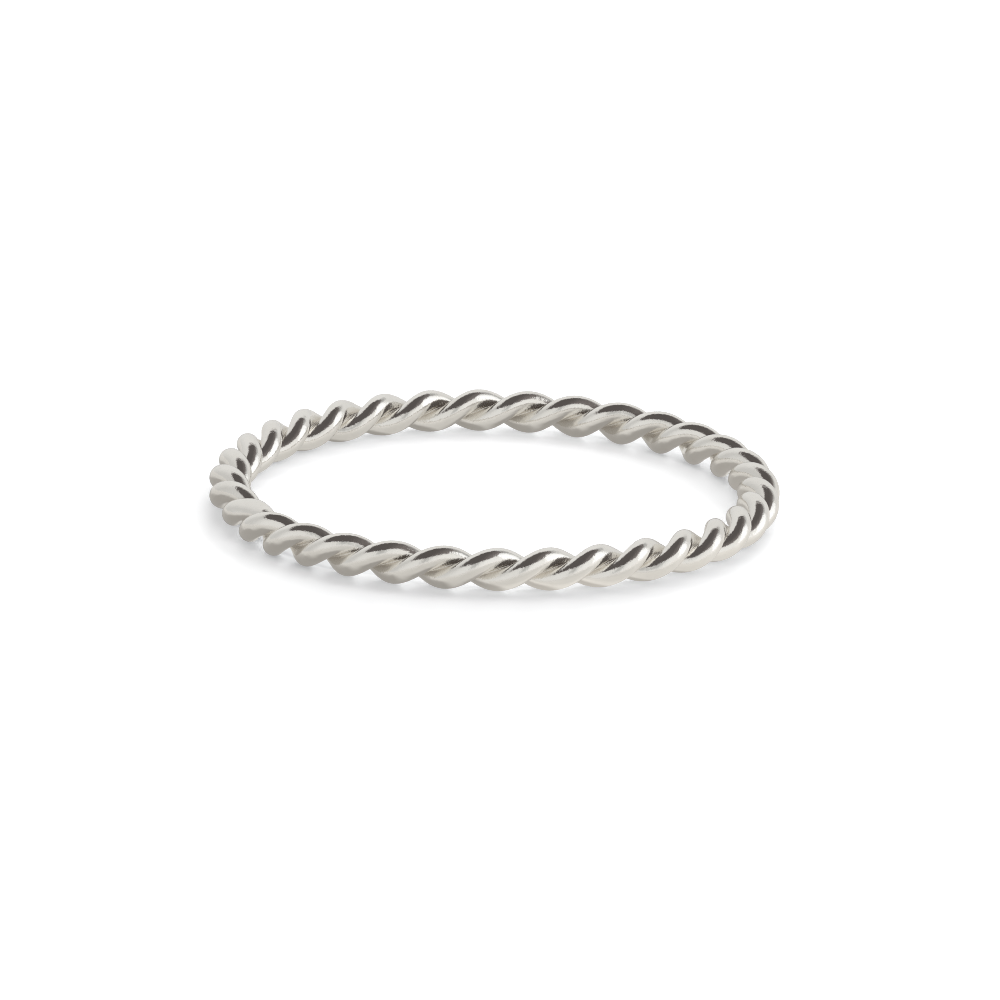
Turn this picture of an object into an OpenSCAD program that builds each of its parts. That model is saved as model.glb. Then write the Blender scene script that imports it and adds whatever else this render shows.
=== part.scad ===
// Twisted stacking ring: two round silver wires laid together like a rope,
// bent to a ring and soldered shut. The number of crests is odd, so at the
// seam each wire meets the end of the other and the metal is one endless loop.
// Millimetres. The ring lies flat: z = 0 is the surface under its lower crests,
// and the z axis runs up through the middle of the finger hole.

/* [Finger hole] */
// Inner diameter between the inner crests, about a US size 7
inner_d = 17.3; // [14:0.1:22]

/* [Wire] */
// Diameter of each of the two wires
wire_d = 0.77; // [0.6:0.01:0.9]
// Share of the wire diameter by which the two wires sink into each other
fuse = 0.05; // [0:0.01:0.1]

/* [Twist] */
// Crests counted once round the outside, an odd number
crests = 33; // [27:2:37]
// Direction of the lay, like the middle stroke of the letter
lay = "S"; // [S, Z]
// Turn of the wire pair at the +X side, degrees
phase = 146; // [0:1:179]

/* [Hand work] */
// How much of the unevenness of the twist and the bending is kept
uneven = 1; // [0:0.1:1]

/* [Solder] */
// Width of the solder at the bottom of the grooves between the wires
groove_w = 0.06; // [0.04:0.01:0.2]
// Width of the solder at the closing seam
seam_w = 0.14; // [0.04:0.01:0.3]
// Place of the closing seam round the ring, degrees from +X
seam_at = 202; // [0:1:359]
// Length of the seam along the ring
seam_len = 1.8; // [0.5:0.1:3]

/* [Surface] */
// Points round each wire in one section, an odd number
wire_points = 9; // [7:2:9]
// Sections per crest, an even number
crest_sections = 8; // [6:2:8]

/* [Hidden] */

// The twist runs tighter and looser round the ring.
// Columns: waves round the ring, sine part and cosine part, degrees of twist
TWIST_WAVES = [[1, 15, -5], [2, -5, 2.5], [3, 5.5, 4.5], [4, -5.5, -1.5]];

// The ring is bent a little out of round.
// Columns: waves round the ring, height, place of one bulge in degrees
BEND_WAVES = [[2, 0.07, 129], [3, 0.074, 98], [4, 0.039, 40]];

// Where the wires were pushed while the seam was soldered.
// Columns: place round the ring in degrees, out from the band's axis, up from
// it, reach, push along the ring, push outwards
PUSHES = [[200, 0.54, -0.42, 0.97, 0.165, -0.124], [213.5, -0.66, -0.28, 0.83, 0.47, 0.195]];

// A flat filed on the wire over the seam. Columns: place round the ring, out
// from the band's axis, up from it, way it faces round the ring and upwards in
// degrees, depth, reach
FLATS = [[203, -0.25, 0.65, 234, 24, 0.12, 0.54]];
// How softly a flat runs out
flat_soft = 0.008;

wire_r = wire_d / 2;
helix_r = wire_r * (1 - fuse);               // wire axis to band axis
band_d = 2 * (helix_r + wire_r);             // width and height of the band
ring_r = inner_d / 2 + helix_r + wire_r;     // band axis to ring axis
hand = lay == "S" ? 1 : -1;

// Path along the band for one radian of twist, and the lay angle of the wires
reach = ring_r / (crests / 2);
lay_angle = atan(helix_r / reach);

function sum(v, i = 0) = i < len(v) ? v[i] + sum(v, i + 1) : 0;

// Twist ahead of an even one at place a round the ring
function drift(a) = uneven * sum([for (w = TWIST_WAVES) w[1] * sin(w[0] * a) + w[2] * cos(w[0] * a)]);

// Distance from the ring's axis to the band's axis at place a
function radius(a) = ring_r + uneven * sum([for (w = BEND_WAVES) w[1] * cos(w[0] * (a - w[2]))]);

// Place where the pair has made the turn w, found by stepping closer
function place(w, a, steps = 4) =
    steps == 0 ? a : place(w, (w - phase - drift(a)) / (crests / 2), steps - 1);

// Distance from the seam, as a share of half its length
function off_seam(a) =
    let (d = ((a - seam_at) % 360 + 540) % 360 - 180)
    abs(d) * PI / 180 * ring_r / (seam_len / 2);

// Width of the solder in the groove, wider at the seam
function solder_at(a) =
    let (s = max(0, 1 - off_seam(a)))
    groove_w + (seam_w - groove_w) * s * s * (3 - 2 * s);

// Section of one wire of the pair, cut square to the band: a round wire that
// leans by the lay angle shows there as a bean, bent round the band's axis
function bean(u) =
    let (t = wire_r * sin(lay_angle) * tan(lay_angle) / helix_r * sin(u) * 180 / PI,
         x = helix_r + wire_r * cos(u),
         y = wire_r * cos(lay_angle) * sin(u))
    [x * cos(t) - y * sin(t), x * sin(t) + y * cos(t)];

// How far round from its crest a wire stays bare, where the solder in the
// groove is w wide, found by halving
function bare(w, lo = 80, hi = 175, steps = 16) =
    let (mid = (lo + hi) / 2)
    steps == 0 ? mid
    : bean(mid).x > w / 2 ? bare(w, mid, hi, steps - 1)
    : bare(w, lo, mid, steps - 1);

// Both wires and the solder between them, as one closed outline
function pair(b) = [
    for (side = [1, -1])
        for (k = [0 : wire_points - 1])
            side * bean(-b + 2 * b * k / (wire_points - 1))
];

// A spot given by its place round the ring, out from the band's axis and up
function spot(v) = [(ring_r + v[1]) * cos(v[0]), (ring_r + v[1]) * sin(v[0]), v[2]];

// 1 at the spot c, less and less further from it
function near(p, c, reach) = exp(-pow(norm(p - c) / reach, 2) / 2);

function total(v, i = 0) = i < len(v) ? v[i] + total(v, i + 1) : [0, 0, 0];

// A point moved by the pushes
function pushed(p) = p + uneven * total([
    for (d = PUSHES)
        near(p, spot(d), d[3]) * (d[4] * [-sin(d[0]), cos(d[0]), 0] + d[5] * [cos(d[0]), sin(d[0]), 0])
]);

// A point that stands out over a flat, brought back to it
function filed(p) = p - uneven * total([
    for (f = FLATS)
        let (out = [cos(f[3]) * cos(f[4]), sin(f[3]) * cos(f[4]), sin(f[4])],
             over = (p - spot(f)) * out + f[5])
        near(p, spot(f), f[6]) * out
            * (over > 20 * flat_soft ? over : flat_soft * ln(1 + exp(over / flat_soft)))
]);

// The outline at place a, turned by w and stood on the ring
function section(a, w) = [
    for (q = pair(bare(solder_at(a))))
        let (o = radius(a) + q.x * cos(w) - q.y * sin(w),
             p = filed(pushed([o * cos(a), o * sin(a), q.x * sin(w) + q.y * cos(w)])))
        [p.x, hand * p.y, band_d / 2 + p.z]
];

sections = crests * crest_sections;
outline = 2 * wire_points;
first_turn = 90;

// Vertex number. Past the last section the pair has made an odd number of half
// turns, so it joins the first section half an outline further on
function at(s, k) =
    s < sections ? s * outline + k % outline : (k + crests * wire_points) % outline;

module twisted_band() {
    // each section stands at a whole share of a half turn, so every crest has
    // a section at its top
    points = [
        for (s = [0 : sections - 1])
            let (w = first_turn + 180 * s / crest_sections)
            each section(place(w, (w - phase) / (crests / 2)), w)
    ];
    faces = [
        for (s = [0 : sections - 1])
            for (k = [0 : outline - 1])
                each [[at(s, k), at(s, k + 1), at(s + 1, k)],
                      [at(s, k + 1), at(s + 1, k + 1), at(s + 1, k)]]
    ];
    color("#d6d4cf")
        polyhedron(points, hand > 0 ? faces : [for (f = faces) [f[0], f[2], f[1]]], convexity = 12);
}

twisted_band();
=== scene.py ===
import math

import bpy
import numpy as np
from mathutils import Matrix, Vector


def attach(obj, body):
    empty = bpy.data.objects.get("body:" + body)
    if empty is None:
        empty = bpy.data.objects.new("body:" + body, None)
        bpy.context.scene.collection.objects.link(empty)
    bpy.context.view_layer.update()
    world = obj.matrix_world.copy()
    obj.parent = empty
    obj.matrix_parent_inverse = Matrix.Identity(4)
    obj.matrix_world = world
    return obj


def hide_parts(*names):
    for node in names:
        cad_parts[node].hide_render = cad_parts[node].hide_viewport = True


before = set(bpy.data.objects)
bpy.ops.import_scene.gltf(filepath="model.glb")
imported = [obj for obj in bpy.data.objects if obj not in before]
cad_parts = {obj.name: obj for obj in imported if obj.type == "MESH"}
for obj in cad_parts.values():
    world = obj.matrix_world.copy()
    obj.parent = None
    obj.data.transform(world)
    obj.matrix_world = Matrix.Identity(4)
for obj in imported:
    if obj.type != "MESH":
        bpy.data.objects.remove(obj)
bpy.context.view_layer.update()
MM = 0.001

# ---------------------------------------------------------------- sizes, mm
# The same sizes as the solid model: two round wires laid in an S twist.
INNER_D = 17.3
WIRE_D = 0.77
FUSE = 0.05
CRESTS = 33
PHASE = math.radians(146)
TWIST_WAVES = ((1, 15, -5), (2, -5, 2.5), (3, 5.5, 4.5), (4, -5.5, -1.5))   # waves, sine, cosine in degrees
BEND_WAVES = ((2, 0.07, 129), (3, 0.074, 98), (4, 0.039, 40))               # waves, height in mm, place in degrees
# place round the ring in degrees, out from the band's axis, up, reach, push along, push out
PUSHES = ((200, 0.54, -0.42, 0.97, 0.165, -0.124), (213.5, -0.66, -0.28, 0.83, 0.47, 0.195))
# place, out, up, way it faces round the ring and upwards in degrees, depth, reach
FLATS = ((203, -0.25, 0.65, 234, 24, 0.12, 0.54),)
FLAT_SOFT = 0.008
GROOVE_W = 0.03
SEAM_W = 0.14
SEAM_AT = math.radians(202)
SEAM_LEN = 1.8

WIRE_R = WIRE_D / 2
HELIX_R = WIRE_R * (1 - FUSE)
BAND_D = 2 * (HELIX_R + WIRE_R)
RING_R = INNER_D / 2 + HELIX_R + WIRE_R
LAY = math.atan(HELIX_R / (RING_R / (CRESTS / 2)))


def drift(a):
    return sum(np.radians(s) * np.sin(n * a) + np.radians(c) * np.cos(n * a) for n, s, c in TWIST_WAVES)


def radius(a):
    return RING_R + sum(h * np.cos(n * (a - np.radians(p))) for n, h, p in BEND_WAVES)


def place(w):
    """Where round the ring the pair has made the turn w."""
    a = (w - PHASE) / (CRESTS / 2)
    for _ in range(5):
        a = (w - PHASE - drift(a)) / (CRESTS / 2)
    return a


def bean(u):
    """Section of one wire of the pair, cut square to the band."""
    t = WIRE_R * math.sin(LAY) * math.tan(LAY) / HELIX_R * np.sin(u)
    x = HELIX_R + WIRE_R * np.cos(u)
    y = WIRE_R * math.cos(LAY) * np.sin(u)
    return x * np.cos(t) - y * np.sin(t), x * np.sin(t) + y * np.cos(t)


def bare(w):
    """How far round from its crest a wire stays bare where the solder is w wide."""
    lo, hi = np.full_like(w, math.radians(80)), np.full_like(w, math.radians(175))
    for _ in range(24):
        mid = (lo + hi) / 2
        wide = bean(mid)[0] > w / 2
        lo, hi = np.where(wide, mid, lo), np.where(wide, hi, mid)
    return (lo + hi) / 2


def polar(t):
    t = math.radians(t)
    return np.array([math.cos(t), math.sin(t), 0.0]), np.array([-math.sin(t), math.cos(t), 0.0])


def pushed(p):
    """The wires were pushed a little where the seam was soldered."""
    out = p.copy()
    for where, off, up, reach, along, outwards in PUSHES:
        c, l = polar(where)
        w = np.exp(-((p - c * (RING_R + off) - (0, 0, up)) ** 2).sum(-1) / (2 * reach * reach))
        out += w[..., None] * (along * l + outwards * c)
    return out


def filed(p):
    """A flat was filed on the wire over the seam."""
    out = p.copy()
    for where, off, up, face, lift, depth, reach in FLATS:
        c = polar(where)[0] * (RING_R + off) + (0, 0, up)
        n = polar(face)[0] * math.cos(math.radians(lift)) + (0, 0, math.sin(math.radians(lift)))
        w = np.exp(-((p - c) ** 2).sum(-1) / (2 * reach * reach))
        over = np.logaddexp(0, ((p - c) @ n + depth) / FLAT_SOFT) * FLAT_SOFT
        out -= (w * over)[..., None] * n
    return out


# ---------------------------------------------------------------- the camera
# Long lens, 17.4 degrees above the floor, rolled one degree.
CAM_DIST, CAM_EL, CAM_ROLL, FOCAL_PX, CENTRE_PX = 431.088, 17.4228, 1.1435, 12206.42, (493.365, 488.7575)


def make_camera():
    e, roll = math.radians(CAM_EL), math.radians(CAM_ROLL)
    target = Vector((0, 0, BAND_D / 2)) * MM
    back = Vector((0, -math.cos(e), math.sin(e)))
    fwd, right = -back, Vector((1, 0, 0))
    up = right.cross(fwd)
    r2 = math.cos(roll) * right + math.sin(roll) * up
    u2 = -math.sin(roll) * right + math.cos(roll) * up
    off = Vector(((CENTRE_PX[0] - 500) / FOCAL_PX, (500 - CENTRE_PX[1]) / FOCAL_PX, 1)).normalized()
    aim = (off.z * fwd - off.x * r2 - off.y * u2).normalized()
    x = (r2 - r2.dot(aim) * aim).normalized()
    y = x.cross(aim)
    data = bpy.data.cameras.new("camera")
    data.sensor_width = 36
    data.lens = FOCAL_PX * 36 / 1000
    data.clip_start, data.clip_end = 0.01, 20
    cam = bpy.data.objects.new("camera", data)
    m = Matrix((x, y, -aim)).transposed().to_4x4()
    m.translation = target + back * CAM_DIST * MM
    cam.matrix_world = m
    bpy.context.scene.collection.objects.link(cam)
    bpy.context.scene.camera = cam


make_camera()


# ---------------------------------------------------------------- the ring
def make_band():
    per_crest, half = 40, 34
    ns, n = CRESTS * per_crest, 2 * half
    w = math.pi / 2 + math.pi * np.arange(ns) / per_crest
    a = place(w)
    d = (a - SEAM_AT + math.pi) % (2 * math.pi) - math.pi
    s = np.clip(1 - np.abs(d) * RING_R / (SEAM_LEN / 2), 0, 1)
    seam = s * s * (3 - 2 * s)
    b = bare(GROOVE_W + (SEAM_W - GROOVE_W) * seam)
    k = np.arange(half)
    # more points near the crest than in the groove would be wasted: even steps
    u = -b[:, None] + 2 * b[:, None] * k[None, :] / (half - 1)
    qx, qy = bean(u)
    qx, qy = np.concatenate([qx, -qx], 1), np.concatenate([qy, -qy], 1)
    cw, sw = np.cos(w)[:, None], np.sin(w)[:, None]
    p = radius(a)[:, None] + qx * cw - qy * sw
    co = np.stack([p * np.cos(a)[:, None], p * np.sin(a)[:, None], qx * sw + qy * cw], -1)
    co = (filed(pushed(co)) + (0, 0, BAND_D / 2)).reshape(-1, 3) * MM

    i, j = np.meshgrid(np.arange(ns), np.arange(n), indexing="ij")

    def at(s_, k_):
        return np.where(s_ < ns, s_ * n + k_ % n, (k_ + CRESTS * half) % n)

    quads = np.stack([at(i, j), at(i + 1, j), at(i + 1, j + 1), at(i, j + 1)], -1).reshape(-1, 4)
    mesh = bpy.data.meshes.new("twisted_band_silver")
    mesh.vertices.add(len(co)); mesh.vertices.foreach_set("co", co.astype(np.float32).ravel())
    mesh.loops.add(quads.size); mesh.loops.foreach_set("vertex_index", quads.astype(np.int32).ravel())
    mesh.polygons.add(len(quads))
    mesh.polygons.foreach_set("loop_start", np.arange(0, quads.size, 4, dtype=np.int32))
    mesh.polygons.foreach_set("use_smooth", np.ones(len(quads), bool))
    mesh.update(calc_edges=True)
    mesh.validate()

    # how deep in the groove a point lies, 0 on the crest to 1 at the solder
    depth = np.abs(u) / math.radians(150)
    depth = np.concatenate([depth, depth], 1).reshape(-1)
    at_ = mesh.attributes.new("groove", "FLOAT", "POINT")
    at_.data.foreach_set("value", np.clip(depth, 0, 1).astype(np.float32))

    # u runs along the wire, v round it, both in millimetres
    along = (w * RING_R / (CRESTS / 2) / math.cos(LAY))
    uv = mesh.uv_layers.new(name="wire")
    step = along[1] - along[0]
    us = np.stack([i, i + 1, i + 1, i], -1).reshape(-1) * step
    kk = np.stack([j, j, j + 1, j + 1], -1).reshape(-1)
    vs = kk * (2 * math.pi * WIRE_R / half)
    uv.data.foreach_set("uv", np.stack([us, vs], -1).astype(np.float32).ravel())

    ob = bpy.data.objects.new("twisted_band_silver", mesh)
    bpy.context.scene.collection.objects.link(ob)
    return ob


# ---------------------------------------------------------------- node helpers
class Nodes:
    def __init__(self, tree):
        self.t = tree
        tree.nodes.clear()

    def add(self, kind, **props):
        n = self.t.nodes.new(kind)
        for k, v in props.items():
            setattr(n, k, v)
        return n

    def link(self, a, b):
        self.t.links.new(a, b)

    def put(self, value, socket):
        if hasattr(value, "is_output"):
            self.link(value, socket)
        else:
            socket.default_value = value

    def math(self, op, a, b=0.0, c=0.0, clamp=False):
        n = self.add("ShaderNodeMath", operation=op, use_clamp=clamp)
        for v, s in zip((a, b, c), n.inputs):
            self.put(v, s)
        return n.outputs[0]

    def smooth(self, v, lo, hi, out0=0.0, out1=1.0):
        n = self.add("ShaderNodeMapRange", interpolation_type="SMOOTHSTEP")
        self.put(v, n.inputs["Value"])
        n.inputs["From Min"].default_value, n.inputs["From Max"].default_value = lo, hi
        n.inputs["To Min"].default_value, n.inputs["To Max"].default_value = out0, out1
        return n.outputs["Result"]


# ---------------------------------------------------------------- silver
def silver():
    mat = bpy.data.materials.new("polished_silver")
    mat.use_nodes = True
    g = Nodes(mat.node_tree)
    out = g.add("ShaderNodeOutputMaterial")
    bsdf = g.add("ShaderNodeBsdfPrincipled")
    g.link(bsdf.outputs["BSDF"], out.inputs["Surface"])
    bsdf.inputs["Metallic"].default_value = 1.0

    obj = g.add("ShaderNodeTexCoord").outputs["Object"]
    uv = g.add("ShaderNodeUVMap", uv_map="wire").outputs["UV"]
    groove = g.add("ShaderNodeAttribute", attribute_name="groove").outputs["Fac"]

    def noise(vec, scale, detail=3.0, rough=0.55, stretch=None):
        if stretch:
            m = g.add("ShaderNodeMapping")
            m.inputs["Scale"].default_value = stretch
            g.link(vec, m.inputs["Vector"])
            vec = m.outputs["Vector"]
        n = g.add("ShaderNodeTexNoise")
        g.link(vec, n.inputs["Vector"])
        n.inputs["Scale"].default_value = scale
        n.inputs["Detail"].default_value = detail
        n.inputs["Roughness"].default_value = rough
        return n.outputs["Fac"]

    # soft clouding of the polish, draw lines along the wire, fine scratches
    cloud = noise(obj, 900, 4)
    lines = noise(uv, 1.0, 4, 0.6, stretch=(1.2, 26, 1))
    fine = noise(obj, 30000, 2)

    # colour: silver, a shade darker and warmer down in the grooves
    deep = g.smooth(groove, 0.62, 1.0)
    spot = g.smooth(cloud, 0.35, 0.75)
    dark = g.math("MULTIPLY_ADD", deep, 0.35, g.math("MULTIPLY", spot, 0.12))
    mix = g.add("ShaderNodeMix", data_type="RGBA")
    g.put(dark, mix.inputs["Factor"])
    mix.inputs["A"].default_value = (0.905, 0.888, 0.848, 1)
    mix.inputs["B"].default_value = (0.58, 0.53, 0.46, 1)
    g.link(mix.outputs["Result"], bsdf.inputs["Base Color"])

    # roughness: polished crests, duller where the wheel didn't reach
    r = g.math("MULTIPLY_ADD", cloud, 0.04, 0.055)
    r = g.math("MULTIPLY_ADD", lines, 0.02, r)
    r = g.math("MULTIPLY_ADD", deep, -0.02, r)
    g.link(r, bsdf.inputs["Roughness"])

    # relief in thousandths of a millimetre: slow waves left by the polishing
    # wheel, dimples, draw lines, grain
    h = g.math("MULTIPLY", noise(obj, 2500, 1), 9.0)
    h = g.math("MULTIPLY_ADD", noise(obj, 10000, 2), 5.0, h)
    h = g.math("MULTIPLY_ADD", lines, 2.0, h)
    h = g.math("MULTIPLY_ADD", fine, 1.5, h)
    flecks = g.math("MULTIPLY", noise(obj, 14000, 2, 0.6), 14.0)
    h = g.math("MULTIPLY_ADD", flecks, deep, h)
    bump = g.add("ShaderNodeBump")
    bump.inputs["Strength"].default_value = 1.0
    bump.inputs["Distance"].default_value = 0.001 * MM
    g.link(h, bump.inputs["Height"])
    g.link(bump.outputs["Normal"], bsdf.inputs["Normal"])
    return mat


band = make_band()
band.data.materials.append(silver())
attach(band, "root")
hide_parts("twisted_band")


# ---------------------------------------------------------------- the studio
def disc(name, radius_m, z, mat):
    n = 96
    ring = [(radius_m * math.cos(2 * math.pi * i / n), radius_m * math.sin(2 * math.pi * i / n), z) for i in range(n)]
    mesh = bpy.data.meshes.new(name)
    mesh.from_pydata(ring, [], [list(range(n))])
    mesh.materials.append(mat)
    ob = bpy.data.objects.new(name, mesh)
    bpy.context.scene.collection.objects.link(ob)
    return ob


def floor_material(name, shade, glow, more, sheen=0.0):
    """more(g, x, y) says how much stronger the paper glows at a place, in metres; its pattern is painted light and
    painted shade.
    """
    mat = bpy.data.materials.new(name)
    mat.use_nodes = True
    g = Nodes(mat.node_tree)
    out = g.add("ShaderNodeOutputMaterial")
    paper = g.add("ShaderNodeBsdfPrincipled")
    paper.inputs["Base Color"].default_value = (*shade, 1)
    paper.inputs["Roughness"].default_value = 0.35 if sheen else 1.0
    paper.inputs["Specular IOR Level"].default_value = sheen
    paper.inputs["Emission Color"].default_value = (*glow, 1)
    sep = g.add("ShaderNodeSeparateXYZ")
    g.link(g.add("ShaderNodeTexCoord").outputs["Object"], sep.inputs["Vector"])
    g.link(more(g, sep.outputs["X"], sep.outputs["Y"]), paper.inputs["Emission Strength"])
    g.link(paper.outputs["BSDF"], out.inputs["Surface"])
    return mat


def towards(az, el):
    """Unit vector; 0 is the camera's side, 90 the right."""
    a, e = math.radians(az), math.radians(el)
    return Vector((math.sin(a) * math.cos(e), -math.cos(a) * math.cos(e), math.sin(e)))


def sun(name, az, el, wide, strength, target):
    """A broad distant light that falls on one of the floor sheets only."""
    data = bpy.data.lights.new(name, "SUN")
    data.energy, data.angle = strength, math.radians(wide)
    ob = bpy.data.objects.new(name, data)
    ob.rotation_euler = towards(az, el).to_track_quat("Z", "Y").to_euler()
    ob.visible_glossy = False
    bpy.context.scene.collection.objects.link(ob)
    group = bpy.data.collections.new(name + "_falls_on")
    group.objects.link(target)
    ob.light_linking.receiver_collection = group


def studio():
    # the white floor that shows, lit from below as a light table is; round the ring its glow carries painted light and
    # painted shade
    def floor_painted_light_and_shade(g, x, y):
        """Painted light and shade in the floor's glow: a little brighter in the hole, which is painted light, and
        darker beneath the ring, which is painted shadow, with more painted light and shade in patches round the ring.
        """
        r = g.math("SQRT", g.math("MULTIPLY_ADD", x, x, g.math("MULTIPLY", y, y)))
        # painted light: the glow is raised inside the hole, most at the back and towards the right
        more = g.math("ADD", g.smooth(y, 0.0, 6 * MM, 0.20, 0.28), g.smooth(x, 5 * MM, 8 * MM, 0.0, 0.06))
        edge = g.math("ADD", r, g.smooth(x, 5 * MM, 8 * MM, 0.0, 0.15 * MM))
        inside = g.math("MULTIPLY", g.smooth(edge, 8.6 * MM, 9.3 * MM, 1.0, 0.0), g.smooth(y, -3.5 * MM, 0.0))
        v = g.math("MULTIPLY_ADD", inside, more, 1.0)
        # painted shadow: the glow is lowered beneath the ring at the front, most on the left
        shift = g.math("MULTIPLY", g.smooth(x, -6 * MM, -4.5 * MM, 0.0, 0.3 * MM), g.smooth(x, -3.5 * MM, -2 * MM, 1.0, 0.0))
        rim = g.math("ADD", r, shift)
        under = g.math("MULTIPLY", g.smooth(r, 8.2 * MM, 8.6 * MM), g.smooth(rim, 9.1 * MM, 9.4 * MM, 1.0, 0.0))
        under = g.math("MULTIPLY", under, g.smooth(y, -2.5 * MM, 0.0, 1.0, 0.0))
        v = g.math("MULTIPLY_ADD", under, g.smooth(x, -8 * MM, 1 * MM, -0.62, -0.02), v)
        # painted shade and light just in front of the ring: darker at the far left, lighter from the centre to the
        # right
        below = g.math("MULTIPLY", g.smooth(r, 8.9 * MM, 9.2 * MM), g.smooth(r, 9.6 * MM, 10.1 * MM, 1.0, 0.0))
        below = g.math("MULTIPLY", below, g.smooth(y, -6 * MM, -3 * MM, 1.0, 0.0))
        along = g.math("ADD", g.smooth(x, -7 * MM, -4.5 * MM, -0.24, 0.03), g.smooth(x, -4 * MM, 1 * MM, 0.0, 0.19))
        v = g.math("MULTIPLY_ADD", below, along, v)
        # painted light on the floor outside the ring's front half, at its left and right ends
        beyond = g.math("MULTIPLY", g.smooth(r, 9.7 * MM, 10.5 * MM), g.smooth(y, -2 * MM, 1 * MM, 1.0, 0.0))
        sides = g.math("ADD", g.smooth(x, -8 * MM, -5 * MM, 0.15, 0.0), g.smooth(x, 5 * MM, 7.5 * MM, 0.0, 0.11))
        v = g.math("MULTIPLY_ADD", beyond, sides, v)
        # painted light just inside the back of the ring, painted shade there on the right
        behind = g.math("MULTIPLY", g.smooth(r, 8.8 * MM, 9.1 * MM), g.smooth(r, 9.3 * MM, 9.7 * MM, 1.0, 0.0))
        behind = g.math("MULTIPLY", behind, g.smooth(y, 1 * MM, 4 * MM))
        along = g.math("ADD", g.smooth(x, -8 * MM, -3 * MM, 0.02, 0.22), g.smooth(x, 2 * MM, 7.5 * MM, 0.0, -0.40))
        v = g.math("MULTIPLY_ADD", behind, along, v)
        # painted light just outside the back of the ring on the left, painted shade there on the right
        corner = g.math("MULTIPLY", g.smooth(r, 9.3 * MM, 9.6 * MM), g.smooth(r, 10.0 * MM, 10.5 * MM, 1.0, 0.0))
        corner = g.math("MULTIPLY", corner, g.smooth(y, 2 * MM, 5 * MM))
        return g.math("MULTIPLY_ADD", corner, g.smooth(x, 0.5 * MM, 5 * MM, 0.08, -0.25), v)

    floor = disc("floor", 1.6, 0.0, floor_material("floor_white", (0.616, 0.62, 0.628), (0.493, 0.494, 0.494), floor_painted_light_and_shade))
    floor.visible_glossy = False
    sun("back_light", 180, 50, 40, 0.8, floor)
    sun("low_light", 170, 19, 26, 3.2, floor)
    sun("side_light", 110, 40, 40, 0.8, floor)
    # a second paper, darker than the floor that shows, which only the metal mirrors: a painted reflection of the
    # floor, with painted light in its glow
    def mirrored_paper_painted_light(g, x, y):
        """Painted light in the mirrored paper's glow: brighter close to the ring, most of all in front on the right,
        and just in front of the ring right of its centre.
        """
        r = g.math("SQRT", g.math("MULTIPLY_ADD", x, x, g.math("MULTIPLY", y, y)))
        near = g.smooth(r, 10.2 * MM, 12.5 * MM, 1.0, 0.0)
        front = g.smooth(y, -7 * MM, -3 * MM, 1.0, 0.0)
        side = g.math("MULTIPLY", g.smooth(x, -1.0 * MM, 2.5 * MM), front)
        v = g.math("MULTIPLY_ADD", near, g.math("MULTIPLY_ADD", side, 0.27, 0.12), g.smooth(x, 5 * MM, 11 * MM, 0.90, 1.20))
        # painted light on the mirrored paper just in front of the ring, right of its centre
        under = g.math("MULTIPLY", g.smooth(x, -1.5 * MM, 1.0 * MM), g.smooth(x, 3.5 * MM, 6 * MM, 1.0, 0.0))
        under = g.math("MULTIPLY", g.math("MULTIPLY", under, front), g.smooth(r, 9.9 * MM, 10.4 * MM, 1.0, 0.0))
        return g.math("MULTIPLY_ADD", under, 0.32, v)

    bounce = disc("floor_bounce", 1.6, 0.00001, floor_material("floor_paper", (0.07, 0.07, 0.068), (0.345, 0.33, 0.312), mirrored_paper_painted_light, 0.4))
    bounce.visible_camera = False
    bounce.visible_diffuse = False
    bounce.visible_shadow = False
    sun("key_light", 89, 29, 14, 24.5, bounce)

    # a light tent: even walls, a dark opening overhead, a softbox on the right
    world = bpy.data.worlds.new("tent")
    bpy.context.scene.world = world
    world.use_nodes = True
    g = Nodes(world.node_tree)
    out = g.add("ShaderNodeOutputWorld")
    bg = g.add("ShaderNodeBackground")
    g.link(bg.outputs["Background"], out.inputs["Surface"])
    sep = g.add("ShaderNodeSeparateXYZ")
    g.link(g.add("ShaderNodeTexCoord").outputs["Generated"], sep.inputs["Vector"])
    x, y, z = sep.outputs

    def glow(direction, wide):
        """1 towards direction, falling to 0 at the angle wide (degrees)."""
        d = direction
        v = g.math("MULTIPLY_ADD", z, d.z, g.math("MULTIPLY_ADD", y, d.y, g.math("MULTIPLY", x, d.x)))
        return g.smooth(v, math.cos(math.radians(wide)), 1.0)

    def box(u, v, u0, u1, v0, v1, soft):
        m = g.math("MULTIPLY", g.smooth(u, u0 - soft, u0 + soft), g.smooth(u, u1 - soft, u1 + soft, 1.0, 0.0))
        n = g.math("MULTIPLY", g.smooth(v, v0 - soft, v0 + soft), g.smooth(v, v1 - soft, v1 + soft, 1.0, 0.0))
        return g.math("MULTIPLY", m, n)

    # directions as a flat map of the ceiling, one unit is 45 degrees off the zenith
    zs = g.math("MAXIMUM", z, 0.001)
    px, py = g.math("DIVIDE", x, zs), g.math("DIVIDE", y, zs)

    def spot(cx, cy, r0, r1, sx=1.0, sy=1.0):
        """1 inside r0 of a place on the ceiling, 0 outside r1."""
        dx = g.math("MULTIPLY", g.math("SUBTRACT", px, cx), 1 / sx)
        dy = g.math("MULTIPLY", g.math("SUBTRACT", py, cy), 1 / sy)
        rr = g.math("SQRT", g.math("MULTIPLY_ADD", dx, dx, g.math("MULTIPLY", dy, dy)))
        return g.smooth(rr, r0, r1, 1.0, 0.0)

    v = g.math("MULTIPLY_ADD", glow(towards(-32, 8), 60), 0.17, 0.62)           # front left wall
    v = g.math("MULTIPLY_ADD", glow(towards(-172, 38), 60), 0.17, v)            # back wall
    v = g.math("MULTIPLY_ADD", glow(towards(55, 8), 54), 0.29, v)               # towards the softbox
    v = g.math("MULTIPLY_ADD", glow(towards(115, 2), 50), 0.13, v)
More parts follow.
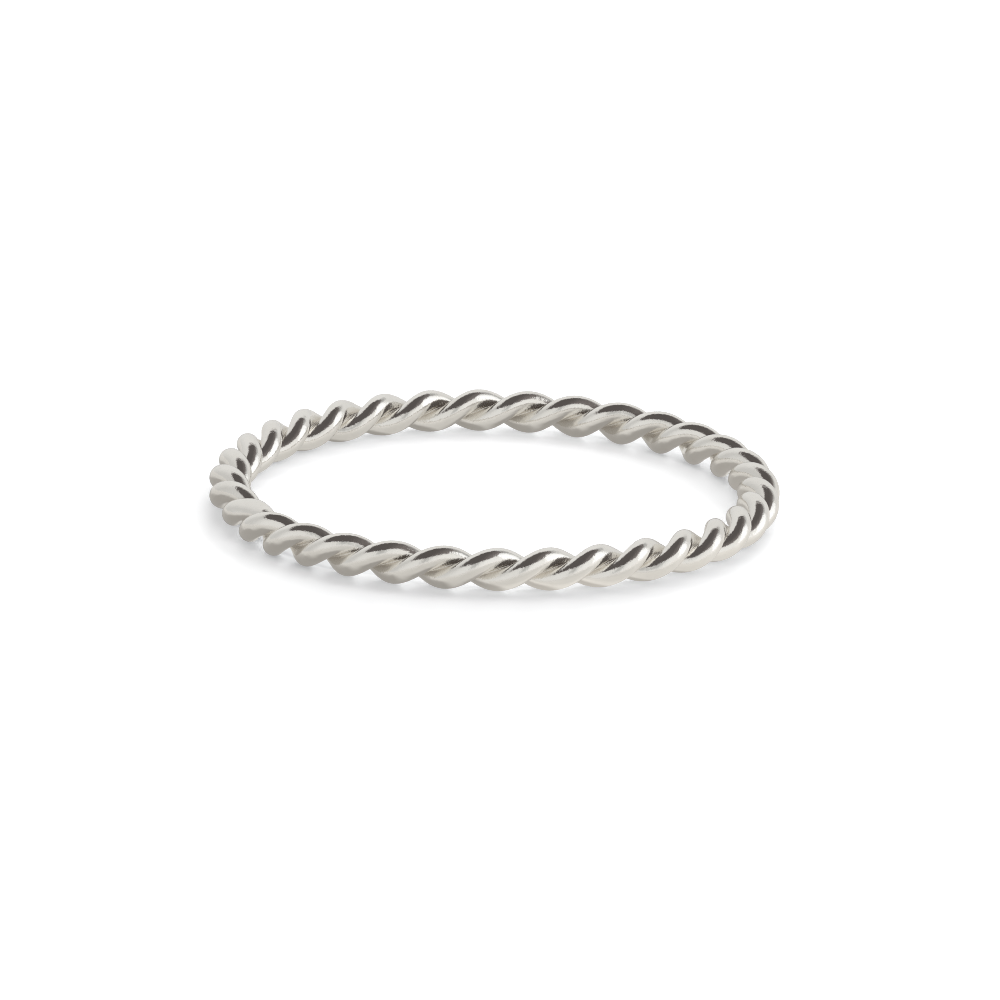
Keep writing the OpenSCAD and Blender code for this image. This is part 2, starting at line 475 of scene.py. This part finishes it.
    # softbox on the right
    xs = g.math("MAXIMUM", x, 0.001)
    soft = box(g.math("DIVIDE", y, xs), g.math("DIVIDE", z, xs), -0.34, 0.41, 0.02, 1.15, 0.13)
    soft = g.math("MULTIPLY", soft, g.smooth(x, 0.0, 0.2))
    v = g.math("MULTIPLY_ADD", soft, SOFTBOX, v)
    # the camera in front of its slit
    ys = g.math("MAXIMUM", g.math("MULTIPLY", y, -1.0), 0.001)
    slit = box(g.math("DIVIDE", x, ys), g.math("DIVIDE", z, ys), -0.16, 0.20, 0.22, 1.4, 0.14)
    v = g.math("MULTIPLY", v, g.math("MULTIPLY_ADD", slit, -0.30, 1.0))
    # a dim patch where the tent's cloth folds, behind on the right
    v = g.math("MULTIPLY", v, g.math("MULTIPLY_ADD", spot(0.80, 0.62, 0.15, 0.6), -0.40, 1.0))
    # the dark opening overhead, its edge pulled in and out by the cloth
    oy = g.math("ADD", py, 0.2)
    way = g.math("ARCTAN2", oy, px)
    edge = 0.911
    for n, c, s in OPENING_WAVES:
        turn = g.math("MULTIPLY", way, float(n))
        edge = g.math("MULTIPLY_ADD", g.math("COSINE", turn), c, edge)
        edge = g.math("MULTIPLY_ADD", g.math("SINE", turn), s, edge)
    off = g.math("SUBTRACT", g.math("SQRT", g.math("MULTIPLY_ADD", px, px, g.math("MULTIPLY", oy, oy))), edge)
    opening = g.math("MULTIPLY", g.smooth(off, -OPENING_SOFT, OPENING_SOFT, 1.0, 0.0), g.smooth(z, 0.0, 0.1))
    dark = g.smooth(px, 0.1, 0.75, 0.096, 0.175)
    v = g.math("MULTIPLY", v, g.math("MULTIPLY_ADD", opening, -1.0, 1.0))
    v = g.math("MULTIPLY_ADD", opening, dark, v)
    g.link(v, bg.inputs["Strength"])
    # cream cloth, a white softbox, a brownish room above
    cloth = g.add("ShaderNodeMix", data_type="RGBA")
    cloth.inputs["A"].default_value, cloth.inputs["B"].default_value = (1.006, 1.0, 0.985, 1), (0.99, 1.0, 1.015, 1)
    g.link(soft, cloth.inputs["Factor"])
    room = g.add("ShaderNodeMix", data_type="RGBA")
    room.inputs["B"].default_value = (1.08, 0.975, 0.95, 1)
    g.link(cloth.outputs["Result"], room.inputs["A"])
    g.link(opening, room.inputs["Factor"])
    g.link(room.outputs["Result"], bg.inputs["Color"])


OPENING_WAVES = ((1, 0.076, -0.044), (2, 0.022, -0.014), (3, -0.070, -0.026), (4, -0.008, -0.029), (5, -0.034, -0.055))
OPENING_SOFT = 0.07
SOFTBOX = 0.40

studio()
sc = bpy.context.scene
sc.view_settings.view_transform = "Standard"
sc.view_settings.look = "None"
sc.cycles.caustics_reflective = False
sc.cycles.caustics_refractive = False
sc.cycles.filter_width = 1.05
sc.cycles.denoising_prefilter = "NONE"
